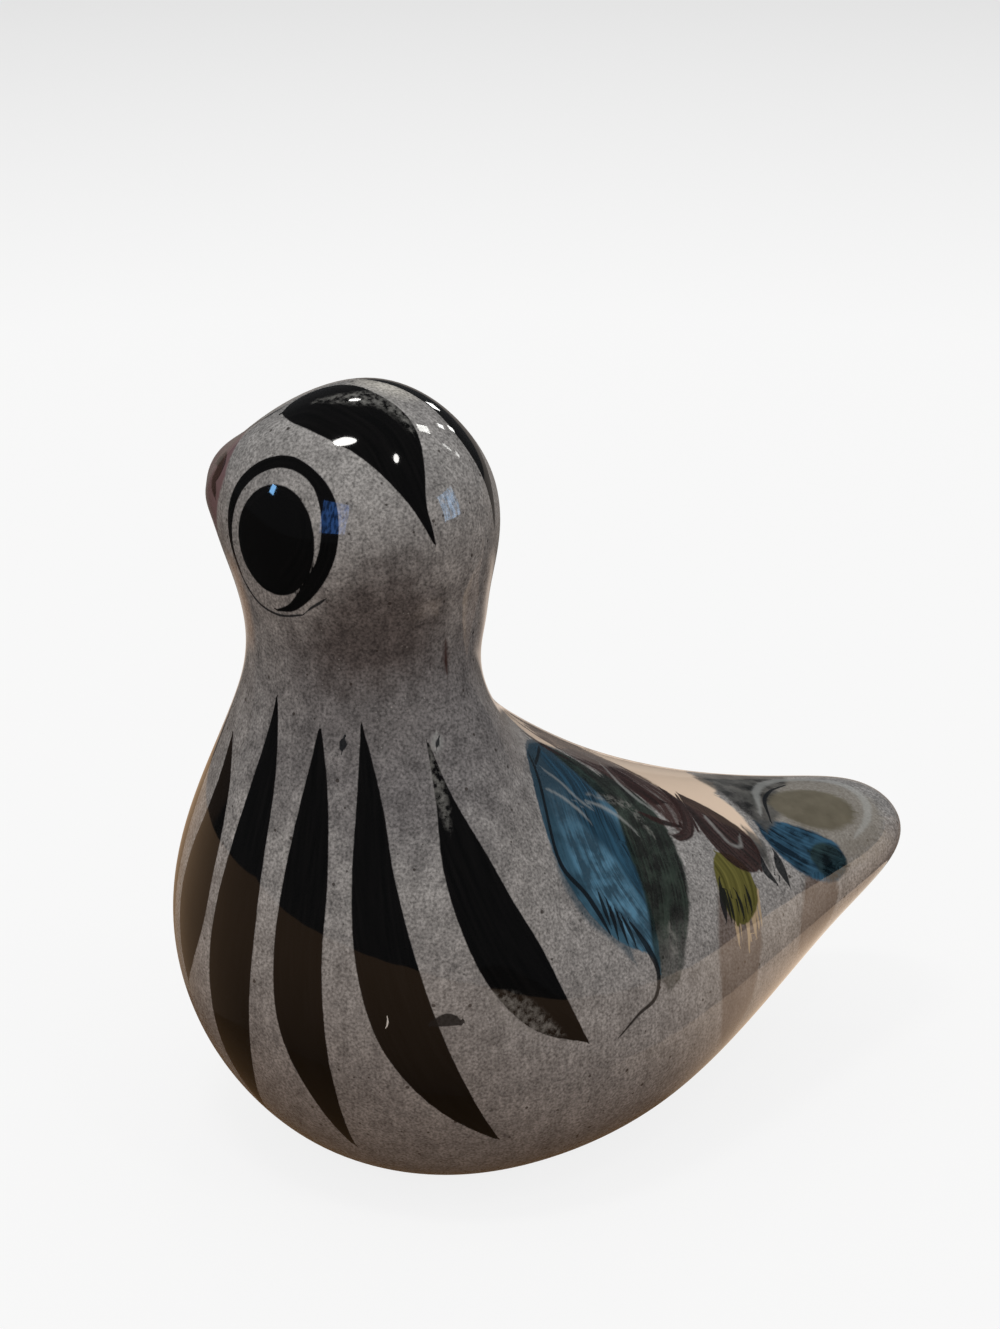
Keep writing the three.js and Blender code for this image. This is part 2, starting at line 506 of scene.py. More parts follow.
lay_both_sides(
    "deep_blue",
    [
        (-6.4, 8.8, 46.2, 0.8),
        (-9.3, 11.4, 43.0, 2.6),
        (-10.2, 15.2, 40.6, 2.7),
        (-12.0, 17.2, 38.2, 2.2),
        (-12.8, 19.8, 35.2, 1.3),
        (-13.2, 22.2, 32.2, 0.2),
    ],
)
lay_both_sides(
    "green",
    [
        (-8.5, 6.2, 45.6, 0.4),
        (-11.5, 7.2, 43.2, 1.8),
        (-14.5, 9.5, 40.6, 2.4),
        (-17.2, 12.5, 37.8, 2.6),
        (-18.0, 16.0, 35.2, 1.5),
    ],
)
lay_both_sides(
    "green",
    [
        (-15.7, 5.3, 41.0, 0.3),
        (-17.3, 10.1, 38.6, 2.9),
        (-17.1, 15.4, 35.9, 4.1),
        (-16.7, 20.0, 32.1, 3.6),
        (-15.2, 23.8, 28.2, 2.7),
        (-14.6, 25.3, 25.8, 2.2),
        (-14.2, 26.2, 24.2, 1.0),
    ],
)
lay_stroke(
    "thin_plum",
    [
        (-8.0, 2.8, 46.9, 0.6),
        (-10.5, 2.5, 44.9, 2.2),
        (-13.5, 1.9, 42.9, 3.4),
        (-16.9, 2.6, 40.7, 3.6),
        (-20.2, 4.6, 38.6, 3.4),
        (-22.6, 8.0, 36.6, 2.6),
        (-22.6, 12.0, 35.0, 0.5),
    ],
)
lay_stroke(
    "thin_plum",
    [
        (-5.0, -1.6, 49.5, 0.4),
        (-9.0, -2.6, 46.0, 2.2),
        (-13.5, -3.8, 42.6, 2.8),
        (-17.5, -6.4, 39.6, 2.6),
        (-20.2, -8.0, 37.6, 2.6),
        (-22.6, -9.4, 36.0, 2.2),
        (-22.6, -12.0, 35.0, 0.5),
    ],
)
lay_both_sides("plum", [(-4.0, 3.6, 50.0, 0.1), (-7.4, 4.0, 47.0, 0.3), (-10.5, 4.6, 44.6, 0.2)])
lay_both_sides("plum", [(-3.6, 1.2, 50.8, 0.2), (-7.0, 1.4, 47.7, 0.5), (-10.5, 0.6, 45.0, 0.4)])
lay_both_sides("plum", [(-5.0, 6.0, 48.2, 0.1), (-8.0, 6.4, 46.2, 0.4), (-11.0, 6.6, 44.2, 0.3)])
lay_both_sides(
    "plum",
    [
        (-17.8, 2.6, 40.3, 0.2),
        (-19.0, 4.0, 39.4, 0.9),
        (-19.8, 6.2, 38.5, 1.3),
        (-21.1, 7.7, 37.5, 1.1),
        (-23.0, 7.7, 36.6, 0.2),
    ],
)
lay_both_sides(
    "plum",
    [
        (-26.2, 4.8, 35.8, 0.1),
        (-27.5, 7.6, 34.7, 1.8),
        (-28.8, 10.4, 33.0, 3.0),
        (-30.4, 12.6, 31.2, 3.0),
        (-32.2, 14.4, 29.3, 0.2),
    ],
)
lay_both_sides(
    "plum",
    [
        (-24.3, 4.9, 36.7, 0.4),
        (-24.9, 7.1, 35.9, 0.8),
        (-24.8, 9.6, 35.1, 0.9),
        (-23.8, 11.9, 34.5, 0.8),
        (-22.2, 13.1, 34.6, 0.6),
        (-21.1, 13.3, 35.0, 0.2),
    ],
)
lay_both_sides("plum", [(-17.8, 11.3, 37.8, 0.2), (-20.3, 11.6, 36.3, 0.5), (-23.0, 11.5, 35.0, 0.3)])
lay_both_sides(
    "line",
    [
        (-4.0, 10.7, 47.6, 0.15),
        (-3.8, 13.1, 46.2, 0.25),
        (-3.1, 17.2, 43.5, 0.25),
        (-2.6, 20.2, 40.7, 0.25),
        (-3.0, 21.9, 38.3, 0.3),
        (-5.0, 23.0, 35.6, 0.3),
        (-6.3, 24.3, 33.1, 0.3),
        (-7.0, 25.2, 31.1, 0.1),
    ],
)
lay_both_sides("line", [(-6.7, 7.9, 46.5, 0.2), (-4.1, 12.2, 46.6, 0.2)])
lay_both_sides(
    "line",
    [
        (-10.2, 23.9, 31.4, 0.15),
        (-11.8, 25.1, 28.3, 0.4),
        (-12.7, 26.0, 25.5, 0.3),
        (-11.8, 27.2, 23.1, 0.25),
        (-9.1, 28.2, 22.0, 0.2),
        (-6.6, 29.1, 20.4, 0.1),
    ],
)
lay_both_sides("fine_hairs", [(-6.8, 22.5, 34.9, 0.1), (-7.1, 23.7, 33.4, 0.3), (-7.3, 24.7, 31.8, 0.1)])
lay_both_sides("hairs", [(-7.6, 22.9, 34.1, 0.1), (-8.0, 24.1, 32.4, 0.3), (-8.0, 25.2, 30.5, 0.1)])
lay_both_sides("fine_hairs", [(-8.5, 23.4, 33.1, 0.1), (-8.9, 24.4, 31.3, 0.25), (-9.2, 25.3, 29.5, 0.1)])
lay_both_sides("hairs", [(-9.3, 23.7, 32.2, 0.1), (-9.8, 24.5, 30.6, 0.25), (-10.3, 25.2, 29.0, 0.1)])
WING_SCRATCHES = [
    [(-5.3, 11.7, 45.8, 0.1), (-7.2, 12.3, 44.0, 0.2), (-8.6, 13.4, 42.4, 0.2), (-10.1, 14.1, 41.0, 0.1)],
    [(-4.6, 14.5, 44.5, 0.1), (-6.3, 14.5, 43.3, 0.2), (-8.3, 15.2, 41.4, 0.2), (-9.1, 16.0, 40.3, 0.1)],
    [(-10.2, 13.2, 41.4, 0.1), (-12.4, 13.0, 40.1, 0.3), (-14.4, 13.6, 38.6, 0.2), (-15.7, 14.7, 37.1, 0.1)],
    [(-17.0, 3.3, 40.6, 0.1), (-17.5, 6.6, 39.7, 0.3), (-18.6, 8.6, 38.5, 0.3), (-20.1, 10.0, 37.2, 0.1)],
]
for scratch in WING_SCRATCHES:
    lay_both_sides("pale", scratch)
lay_both_sides(
    "worn",
    [
        (-10.8, 12.1, 41.7, 0.2),
        (-14.0, 11.2, 40.2, 0.6),
        (-16.6, 11.0, 38.6, 0.7),
        (-17.3, 12.5, 37.5, 0.5),
        (-18.1, 14.1, 36.2, 0.2),
    ],
)
lay_both_sides("worn", [(-15.7, 23.0, 28.8, 0.2), (-15.6, 24.0, 27.4, 0.7), (-15.2, 24.8, 26.2, 0.2)])
lay_both_sides(
    "pale",
    [
        (-27.9, 8.9, 34.1, 0.2),
        (-28.4, 10.7, 33.1, 0.2),
        (-29.3, 12.1, 31.9, 0.2),
        (-30.7, 12.2, 31.3, 0.2),
        (-31.2, 10.9, 31.8, 0.1),
    ],
)

# Behind each wing hangs a yellow-green leaf. The brush's bristles left dark points and beige gaps at
# its end, over a thin brown band, and two short dark dashes beside it.
lay_both_sides(
    "brown",
    [
        (-26.9, 19.0, 27.2, 3.2),
        (-26.2, 21.0, 24.4, 3.8),
        (-25.4, 22.2, 21.0, 3.7),
        (-24.9, 22.6, 17.3, 3.2),
        (-24.5, 22.2, 14.0, 2.1),
        (-24.2, 21.2, 11.2, 0.3),
    ],
)
LEAF_FRINGE = [
    [(-26.4, 18.6, 28.0, 0.5), (-26.1, 19.4, 26.9, 0.5), (-25.8, 21.3, 23.7, 0.1)],
    [(-28.0, 17.6, 28.0, 0.5), (-27.9, 18.4, 27.0, 0.5), (-27.3, 20.9, 22.8, 0.1)],
    [(-29.2, 17.2, 27.8, 0.4), (-29.1, 18.1, 26.5, 0.4), (-28.8, 19.9, 23.6, 0.1)],
    [(-30.3, 16.6, 27.6, 0.4), (-30.2, 17.5, 26.7, 0.3), (-30.0, 18.9, 24.6, 0.1)],
]
for bristle in LEAF_FRINGE:
    lay_both_sides("fringe", bristle)
lay_both_sides(
    "leaf",
    [
        (-26.8, 14.4, 31.6, 0.8),
        (-27.6, 16.0, 29.9, 2.8),
        (-27.6, 17.5, 28.5, 3.1),
        (-27.2, 18.6, 27.4, 2.3),
    ],
)
LEAF_BRISTLES = [
    [(-25.4, 16.9, 30.4, 0.1), (-24.8, 19.0, 28.2, 0.5), (-24.5, 20.4, 26.6, 0.1)],
    [(-25.9, 17.8, 28.9, 0.1), (-25.8, 18.9, 27.5, 0.25), (-25.7, 20.0, 26.1, 0.1)],
    [(-27.3, 17.4, 28.6, 0.1), (-27.4, 18.5, 27.2, 0.25), (-27.3, 19.4, 26.0, 0.1)],
    [(-28.9, 16.8, 28.4, 0.1), (-28.9, 17.7, 27.3, 0.25), (-28.8, 18.6, 26.0, 0.1)],
    [(-33.0, 13.1, 29.8, 0.1), (-32.9, 14.4, 28.6, 0.5), (-33.8, 15.2, 27.4, 0.2)],
    [(-35.4, 12.1, 29.6, 0.2), (-35.3, 13.6, 28.3, 0.7), (-35.9, 15.0, 26.3, 0.1)],
]
for bristle in LEAF_BRISTLES:
    lay_both_sides("line", bristle)
lay_both_sides("slate", [(-32.9, 9.6, 32.0, 0.3), (-33.5, 11.8, 30.6, 1.0), (-33.7, 13.6, 29.0, 0.4)])
# Painted reflection: the brown patch below the tail's left petal stands in for the mirror image of something
# dark.
lay_stroke(
    "brown",
    [
        (-41.2, 13.4, 25.0, 2.6),
        (-40.6, 14.6, 22.8, 3.4),
        (-39.2, 15.8, 20.2, 3.0),
        (-37.6, 16.4, 18.4, 0.4),
    ],
)

# The tail carries a flower seen from above: an olive heart in a grey ring, blue petals with green
# ends to each side, and a dark petal towards the back.
lay_stroke(
    "slate",
    [
        (-33.6, -1.2, 33.9, 1.6),
        (-35.6, -0.8, 33.2, 3.6),
        (-37.4, 1.4, 32.8, 4.6),
        (-36.8, 5.4, 32.3, 2.8),
        (-35.8, 9.0, 31.2, 0.4),
    ],
)
lay_stroke("slate", [(-38.6, -3.4, 32.2, 2.6), (-41.4, -2.4, 31.9, 3.0), (-44.4, -3.6, 31.2, 1.4)])
lay_stroke(
    "green",
    [
        (-39.9, -3.8, 31.9, 0.4),
        (-38.1, 1.2, 32.5, 1.3),
        (-35.6, 5.2, 32.7, 0.6),
    ],
)
lay_stroke("wash_brown", [(-39.0, 1.5, 32.2, 3.0), (-44.0, 4.5, 30.8, 7.4), (-48.6, 5.4, 29.4, 5.4)])
lay_stroke(
    "olive",
    [
        (-40.0, 4.6, 31.6, 1.0),
        (-42.2, 4.8, 31.1, 3.1),
        (-44.8, 5.0, 30.5, 3.8),
        (-47.2, 5.2, 29.9, 3.0),
        (-48.7, 5.6, 29.3, 1.0),
    ],
)
lay_stroke(
    "line",
    [
        (-37.3, 7.7, 31.4, 0.1),
        (-38.6, 4.0, 32.2, 0.25),
        (-40.9, 1.4, 32.0, 0.2),
        (-43.9, -0.2, 31.5, 0.1),
    ],
)
lay_stroke(
    "pale",
    [
        (-36.6, 6.4, 32.0, 0.2),
        (-38.8, 1.6, 32.5, 0.5),
        (-42.6, -1.6, 31.8, 0.6),
        (-47.4, -2.2, 30.7, 0.6),
        (-51.4, -0.4, 30.0, 0.6),
        (-52.6, 3.4, 29.2, 0.6),
        (-51.4, 6.8, 28.4, 0.5),
        (-48.6, 9.0, 27.8, 0.2),
    ],
)
lay_both_sides(
    "petal",
    [
        (-35.4, 8.4, 31.7, 0.6),
        (-37.4, 10.0, 30.2, 2.6),
        (-39.9, 11.0, 28.5, 3.3),
        (-42.8, 11.5, 26.9, 2.8),
        (-45.0, 11.6, 25.8, 0.8),
    ],
)
lay_both_sides(
    "green",
    [
        (-41.3, 11.3, 27.7, 0.8),
        (-42.9, 11.6, 26.7, 2.2),
        (-44.4, 11.6, 26.0, 1.5),
        (-45.3, 11.6, 25.7, 0.3),
    ],
)

# Wear and kiln marks: the black is rubbed at the head and foot of the fourth breast stroke, a
# pinhole with a pale rim and a few dark and white spots lie in the glaze, and one brown drip.
lay_stroke("worn", [(10.2, 16.3, 53.3, 0.3), (10.4, 18.7, 49.4, 0.7), (10.4, 21.3, 45.6, 0.2)])
lay_stroke(
    "worn",
    [
        (9.0, 28.4, 29.0, 0.3),
        (6.6, 28.9, 26.8, 1.6),
        (4.0, 29.3, 24.6, 1.5),
        (1.1, 29.6, 22.8, 0.3),
    ],
)
lay_stroke("pale", [(9.5, 16.4, 53.9, 0.6), (9.5, 16.4, 53.1, 0.6)])
lay_stroke("line", [(9.4, 16.4, 53.6, 0.3), (9.5, 16.4, 53.2, 0.3)])
lay_stroke("line", [(18.8, 12.7, 53.8, 0.45), (18.9, 12.7, 53.2, 0.45)])
lay_stroke("line", [(14.9, 27.3, 26.2, 0.4), (13.7, 27.8, 26.5, 0.75), (12.6, 28.0, 26.3, 0.5)])
lay_stroke("white", [(19.4, 24.9, 26.3, 0.14), (19.4, 24.9, 25.9, 0.12)])
lay_stroke("thin_plum", [(6.9, 12.7, 63.4, 0.15), (6.9, 12.8, 62.0, 0.45), (7.0, 12.9, 59.8, 0.2)])

for name, values in {**paint_layers, "brush_place": brush_place}.items():
    attribute = dove_mesh.attributes.new(name, "FLOAT_VECTOR", "POINT")
    attribute.data.foreach_set("vector", values.astype(np.float32).ravel())

# The skin is grey slip under a clear glossy glaze. The slip has a fine grain, faint brush marks
# and iron specks. Around the neck and upper breast it is painted darker and purplish: partly the
# purplish body showing through thin slip, and partly painted shade under the head.
# Pattern scales are marks per mm, and grit finer than about 0.3 mm is drawn at that size, to show.
PER_METRE = 1 / MILLIMETRE
GRAIN_PER_MM = 3.3
RUBBING_PER_MM = 1.3
RAGGED_EDGE_PER_MM = 0.9
CLOUDS_PER_MM = 0.45
GLAZE_WAVES_PER_MM = 0.16
MOTTLE_PER_MM = 0.12
BRISTLES_PER_MM = (2.2, 0.12, 1.0)
HATCHES_PER_MM = (1.5, 1.5, 0.1)
SPECKS_PER_MM = 0.8
GRIT_PER_MM = 1.9
GLAZE_WAVE_DEPTH = 0.06 * MILLIMETRE


def linear(hex_colour):
    """The linear red, green, blue and alpha of an sRGB colour written as #rrggbb."""
    channels = [int(hex_colour[k : k + 2], 16) / 255 for k in (1, 3, 5)]
    return tuple(c / 12.92 if c <= 0.04045 else ((c + 0.055) / 1.055) ** 2.4 for c in channels) + (1,)


def added(tree, kind, *feeds, **details):
    """Adds a shader node and returns it.

    Feeds go to its inputs in order: a node gives its first output, a socket itself, a number or
    colour a value, and None nothing. Details set its properties, or an input by its name.
    """
    node = tree.nodes.new("ShaderNode" + kind)
    for name, value in details.items():
        if name[0].isupper():
            node.inputs[name.replace("_", " ")].default_value = value
        else:
            setattr(node, name, value)
    for socket, feed in zip(node.inputs, feeds):
        if isinstance(feed, bpy.types.Node):
            tree.links.new(feed.outputs[0], socket)
        elif isinstance(feed, bpy.types.NodeSocket):
            tree.links.new(feed, socket)
        elif feed is not None:
            socket.default_value = feed
    return node


def new_material(name):
    """A material with shader nodes and none in it yet."""
    material = bpy.data.materials.new(name)
    material.use_nodes = True
    material.node_tree.nodes.clear()
    return material


glazed = new_material("brush-painted slip under clear glaze")
glaze = glazed.node_tree
place = added(glaze, "TexCoord").outputs["Object"]
mm = added(glaze, "VectorMath", place, (PER_METRE,) * 3, operation="MULTIPLY")
height = added(glaze, "SeparateXYZ", mm).outputs["Z"]
brush = added(glaze, "Attribute", attribute_name="brush_place").outputs["Vector"]
bristles = added(glaze, "VectorMath", brush, BRISTLES_PER_MM, operation="MULTIPLY")
bristle_marks = added(glaze, "TexNoise", bristles, Scale=1.0, Detail=3.0)
ragged = added(glaze, "TexNoise", mm, Scale=RAGGED_EDGE_PER_MM, Detail=4.0)
mottle = added(glaze, "TexNoise", mm, Scale=MOTTLE_PER_MM, Detail=5.0)
grain = added(glaze, "TexNoise", mm, Scale=GRAIN_PER_MM, Detail=3.0)
clouds = added(glaze, "TexNoise", mm, Scale=CLOUDS_PER_MM, Detail=5.0)
hatches = added(glaze, "VectorMath", mm, HATCHES_PER_MM, operation="MULTIPLY")
hatch_marks = added(glaze, "TexNoise", hatches, Scale=1.0, Detail=3.0)


def patched(under, middle, spread, share, paint):
    """The colour with a cloudy patch of paint: its share at the middle, gone about the spread away."""
    gap = added(glaze, "VectorMath", mm, middle, operation="SUBTRACT")
    away = added(glaze, "VectorMath", gap, operation="LENGTH").outputs["Value"]
    drift = added(glaze, "Math", mottle, clouds, operation="ADD")
    wander = added(glaze, "Math", drift, spread * 0.5, away, operation="MULTIPLY_ADD")
    inner = spread * 0.9
    outer = spread * 1.5
    ease = "SMOOTHSTEP"
    cover = added(glaze, "MapRange", wander, outer, inner, 0.0, share, interpolation_type=ease)
    return added(glaze, "MixRGB", cover, under, linear(paint))


def shaded(under, marks, darkest, lightest):
    """The colour times the darkest share where the marks are 0.3 and the lightest where they are 0.7."""
    shade = added(glaze, "MapRange", marks, 0.3, 0.7, darkest, lightest)
    return added(glaze, "MixRGB", 1.0, under, shade, blend_type="MULTIPLY")


colour = added(glaze, "MixRGB", mottle, linear("#7b7978"), linear("#92908e"))
# Painted light: the forehead and the crown's top are painted paler, as if lit from above.
colour = patched(colour, (17.0, 9.0, 82.0), 10.0, 0.2, "#9e9b98")
colour = patched(colour, (7.5, 0.0, 89.0), 5.0, 0.6, "#c2beb5")
# Painted shade: the neck and upper breast on the bird's left are painted darker, as shade under the head.
colour = patched(colour, (12.0, 11.0, 54.0), 21.0, 0.75, "#5d5a5b")
colour = patched(colour, (14.0, 10.0, 66.5), 11.0, 0.8, "#504947")
colour = shaded(colour, grain, 0.52, 1.48)
colour = shaded(colour, clouds, 0.82, 1.18)
colour = shaded(colour, hatch_marks, 0.86, 1.14)


def dotted(under, cells, reach, edge, share, paint):
    """The colour with dots in the cells: each covers its share up to its reach less the edge."""
    depth = added(glaze, "Math", reach, cells.outputs["Distance"], operation="SUBTRACT")
    cover = added(glaze, "MapRange", depth, 0.0, edge, 0.0, share)
    return added(glaze, "MixRGB", cover, under, linear(paint))


speck_cells = added(glaze, "TexVoronoi", mm, Scale=SPECKS_PER_MM)
speck_chance = added(glaze, "SeparateXYZ", speck_cells.outputs["Color"]).outputs["X"]
speck_reach = added(glaze, "MapRange", speck_chance, 0.5, 1.0, 0.0, 0.2)
colour = dotted(colour, speck_cells, speck_reach, 0.04, 0.75, "#2b2420")
grit_cells = added(glaze, "TexVoronoi", mm, Scale=GRIT_PER_MM)
grit_chance = added(glaze, "SeparateXYZ", grit_cells.outputs["Color"]).outputs["X"]
dark_reach = added(glaze, "MapRange", grit_chance, 0.6, 1.0, 0.0, 0.24)
colour = dotted(colour, grit_cells, dark_reach, 0.1, 0.5, "#3a3634")
pale_reach = added(glaze, "MapRange", grit_chance, 0.3, 0.0, 0.0, 0.2)
colour = dotted(colour, grit_cells, pale_reach, 0.1, 0.35, "#c4c2bd")

# The slips and oxides sank into the grey slip as the glaze melted, so their edges are a little
# soft. Thin washes let the grain through, and the bristles left streaks in the thicker colours.


def painted(under, layer, softness, raggedness, share, paint):
    """The colour with a layer's paint over it, whole inside the strokes times the share.

    The depth is the half width less the distance across, or the coarse depth plus 0.4 mm where
    that is less. The two noises shift it by up to the raggedness, and it eases over the softness.
    """
    laid = added(glaze, "SeparateXYZ", added(glaze, "Attribute", attribute_name=layer).outputs["Vector"])
    coarse, across, reach = laid.outputs
    distance = added(glaze, "Math", across, operation="ABSOLUTE")
    sharp = added(glaze, "Math", reach, distance, operation="SUBTRACT")
    limit = added(glaze, "Math", coarse, 0.4, operation="ADD")
    depth = added(glaze, "Math", sharp, limit, operation="MINIMUM")
    rough = added(glaze, "Math", ragged, bristle_marks, operation="ADD")
    shift = added(glaze, "Math", rough, raggedness, -raggedness, operation="MULTIPLY_ADD")
    moved = added(glaze, "Math", depth, shift, operation="ADD")
    ease = "SMOOTHSTEP"
    inside = added(glaze, "MapRange", moved, -softness, softness, 0.0, 1.0, interpolation_type=ease)
    cover = added(glaze, "Math", inside, share, operation="MULTIPLY")
    return added(glaze, "MixRGB", cover, under, paint)


def two_tone(light, dark_colour, light_colour):
    """The dark colour where the light share is 0 and the light colour where it is 1."""
    return added(glaze, "MixRGB", light, linear(dark_colour), linear(light_colour))


streaks = added(glaze, "MapRange", bristle_marks, 0.35, 0.7, 0.0, 1.0)
cloudy = added(glaze, "Math", clouds, bristle_marks, operation="ADD")
colour = painted(colour, "cream", 0.3, 0.5, 1.0, linear("#dac4af"))
colour = painted(colour, "brown", 0.4, 0.5, 0.6, linear("#4a3222"))
colour = painted(colour, "wash_brown", 1.0, 1.5, 0.6, linear("#7b756a"))
blue_low_down = added(glaze, "MapRange", height, 45.0, 37.0, 0.0, 1.0)
blue_clouds = added(glaze, "MapRange", cloudy, 0.88, 1.16, 0.1, 1.0)
blue_light = added(glaze, "Math", blue_low_down, blue_clouds, operation="MULTIPLY")
colour = painted(colour, "blue", 0.15, 0.3, 0.94, two_tone(blue_light, "#1b3848", "#4f7e99"))
colour = painted(colour, "wash", 0.4, 0.5, 0.65, linear("#223c4a"))
colour = painted(colour, "deep_blue", 0.7, 1.2, 0.9, two_tone(streaks, "#0f1e28", "#264a60"))
petal_light = added(glaze, "MapRange", cloudy, 0.85, 1.2, 0.1, 1.0)
colour = painted(colour, "petal", 0.25, 0.4, 1.0, two_tone(petal_light, "#08151f", "#34566d"))
green_light = added(glaze, "MapRange", cloudy, 0.85, 1.25, 0.0, 1.0)
green_share = added(glaze, "MapRange", height, 25.0, 30.0, 0.6, 0.95)
colour = painted(colour, "green", 0.3, 0.6, green_share, two_tone(green_light, "#070c09", "#2a372f"))
colour = painted(colour, "fringe", 0.1, 0.2, 1.0, linear("#a8957a"))
colour = painted(colour, "leaf", 0.15, 0.4, 1.0, two_tone(streaks, "#45431f", "#6a6636"))
thin_share = added(glaze, "MapRange", bristle_marks, 0.35, 0.5, 0.6, 0.95)
colour = painted(colour, "thin_plum", 0.4, 0.8, thin_share, linear("#3a2825"))
slate_light = added(glaze, "MapRange", clouds, 0.35, 0.65, 0.0, 1.0)
colour = painted(colour, "slate", 0.5, 0.8, 0.9, two_tone(slate_light, "#232323", "#5c5b58"))
colour = painted(colour, "olive", 0.5, 0.8, 1.0, two_tone(clouds, "#4f4a3e", "#716b5d"))
colour = painted(colour, "mauve", 0.25, 0.4, 1.0, two_tone(mottle, "#5e484b", "#7d6567"))
colour = painted(colour, "plum", 0.15, 0.3, 0.95, two_tone(streaks, "#160e0d", "#3c2826"))
colour = painted(colour, "pale", 0.3, 0.4, 0.45, linear("#a3a5a3"))
colour = painted(colour, "black", 0.08, 0.12, 1.0, two_tone(streaks, "#060606", "#0e0d0d"))
for layer in ("line", "hairs", "fine_hairs"):
    colour = painted(colour, layer, 0.08, 0.1, 0.92, linear("#0f1317"))
rubbing = added(glaze, "TexNoise", mm, Scale=RUBBING_PER_MM, Detail=7.0, Roughness=0.65)
rubbed_share = added(glaze, "MapRange", rubbing, 0.42, 0.68, 0.0, 0.65)
colour = painted(colour, "worn", 0.5, 0.8, rubbed_share, linear("#8b8a86"))
colour = painted(colour, "white", 0.08, 0.05, 1.0, linear("#d8d6d0"))

# The glaze is clear, colourless and glossy, a little wavy as it ran in the kiln, and its lustre
# mirrors sharply. The foot was wiped bare before firing, and shows the dull buff stoneware.
bare_foot = added(glaze, "MapRange", height, 0.45, 0.2, 0.0, 1.0)
colour = added(glaze, "MixRGB", bare_foot, colour, linear("#9a7f66"))
roughness = added(glaze, "MapRange", bare_foot, 0.0, 1.0, 0.05, 0.85)
wave = added(glaze, "TexNoise", mm, Scale=GLAZE_WAVES_PER_MM, Detail=2.0)
surface = added(glaze, "Bump", Strength=1.0, Distance=GLAZE_WAVE_DEPTH)
glaze.links.new(wave.outputs[0], surface.inputs["Height"])
shader = added(glaze, "BsdfPrincipled", IOR=1.5)
glaze.links.new(colour.outputs[0], shader.inputs["Base Color"])
glaze.links.new(roughness.outputs[0], shader.inputs["Roughness"])
glaze.links.new(surface.outputs[0], shader.inputs["Normal"])
added(glaze, "OutputMaterial", shader)
dove_mesh.materials.append(glazed)

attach(painted_dove, "root")
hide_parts("dove")

# The dove stands on a wide pale studio floor. The glaze mirrors the floor as warm brown close under
# the bird and dark further off, and the light that the floor sends up is weak under the belly.
FLOOR_RADIUS = 4.0
FLOOR_SIDES = 96
floor_turns = np.arange(FLOOR_SIDES) * 2 * math.pi / FLOOR_SIDES
floor_rim = np.stack([np.cos(floor_turns), np.sin(floor_turns), np.zeros(FLOOR_SIDES)], axis=1)
floor_mesh = bpy.data.meshes.new("floor")
floor_mesh.from_pydata(floor_rim * FLOOR_RADIUS, [], [list(range(FLOOR_SIDES))])
floor = bpy.data.objects.new("floor", floor_mesh)
bpy.context.scene.collection.objects.link(floor)
floor_material = new_material("pale studio floor")
ground = floor_material.node_tree
ray_kinds = added(ground, "LightPath").outputs
ground_place = added(ground, "TexCoord").outputs["Object"]
ground_distance = added(ground, "VectorMath", ground_place, operation="LENGTH").outputs["Value"]
ground_x, ground_y = added(ground, "SeparateXYZ", ground_place).outputs[:2]

# Close by, the mirrored floor is dark brown before the bird and light behind its tail.
towards_tail = added(ground, "MapRange", ground_x, -0.02, -0.06, 0.0, 1.0)
near_side = added(ground, "MapRange", ground_y, -0.02, 0.005, 0.0, 1.0)
tail_tone = added(ground, "MixRGB", near_side, (0.9, 0.8, 0.7, 1), (1.45, 1.08, 0.78, 1))
close_tone = added(ground, "MixRGB", towards_tail, (0.12, 0.07, 0.035, 1), tail_tone)

# Past it the mirrored floor is dark, but for a warm ring and a grey stretch on the bird's right.
right_side = added(ground, "MapRange", ground_y, -0.04, -0.09, 0.0, 1.0)
ground_sum = added(ground, "Math", ground_x, ground_y, operation="ADD")
behind_right = added(ground, "MapRange", ground_sum, -0.03, -0.07, 0.0, 1.0)
ring_side = added(ground, "Math", right_side, behind_right, operation="MULTIPLY")
ring_end = added(ground, "MapRange", ground_distance, 0.145, 0.17, 1.0, 0.15)
ring_share = added(ground, "Math", ring_side, ring_end, operation="MULTIPLY")
ring_start = added(ground, "MapRange", ground_distance, 0.12, 0.15, 0.0, 1.0)
ring_behind = added(ground, "MixRGB", ring_start, (0.25, 0.2, 0.17, 1), (0.9, 0.74, 0.62, 1))
ring_rear = added(ground, "MapRange", ground_x, 0.05, -0.01, 0.0, 1.0)
ring_tone = added(ground, "MixRGB", ring_rear, (0.35, 0.2, 0.11, 1), ring_behind)
grey_rear = added(ground, "MapRange", ground_x, -0.05, -0.15, 0.0, 1.0)
grey_start = added(ground, "MapRange", ground_distance, 0.15, 0.3, 0.0, 1.0)
grey_side = added(ground, "MapRange", ground_y, -0.03, -0.1, 0.0, 1.0)
grey_share = added(ground, "Math", grey_rear, grey_start, operation="MULTIPLY")
grey_share = added(ground, "Math", grey_share, grey_side, operation="MULTIPLY")
grey_tone = added(ground, "MixRGB", grey_share, (0.03, 0.03, 0.03, 1), (0.12, 0.12, 0.12, 1))
far_tone = added(ground, "MixRGB", ring_share, grey_tone, ring_tone)
further_off = added(ground, "MapRange", ground_distance, 0.085, 0.095, 0.0, 1.0)
mirrored = added(ground, "MixRGB", further_off, close_tone, far_tone)

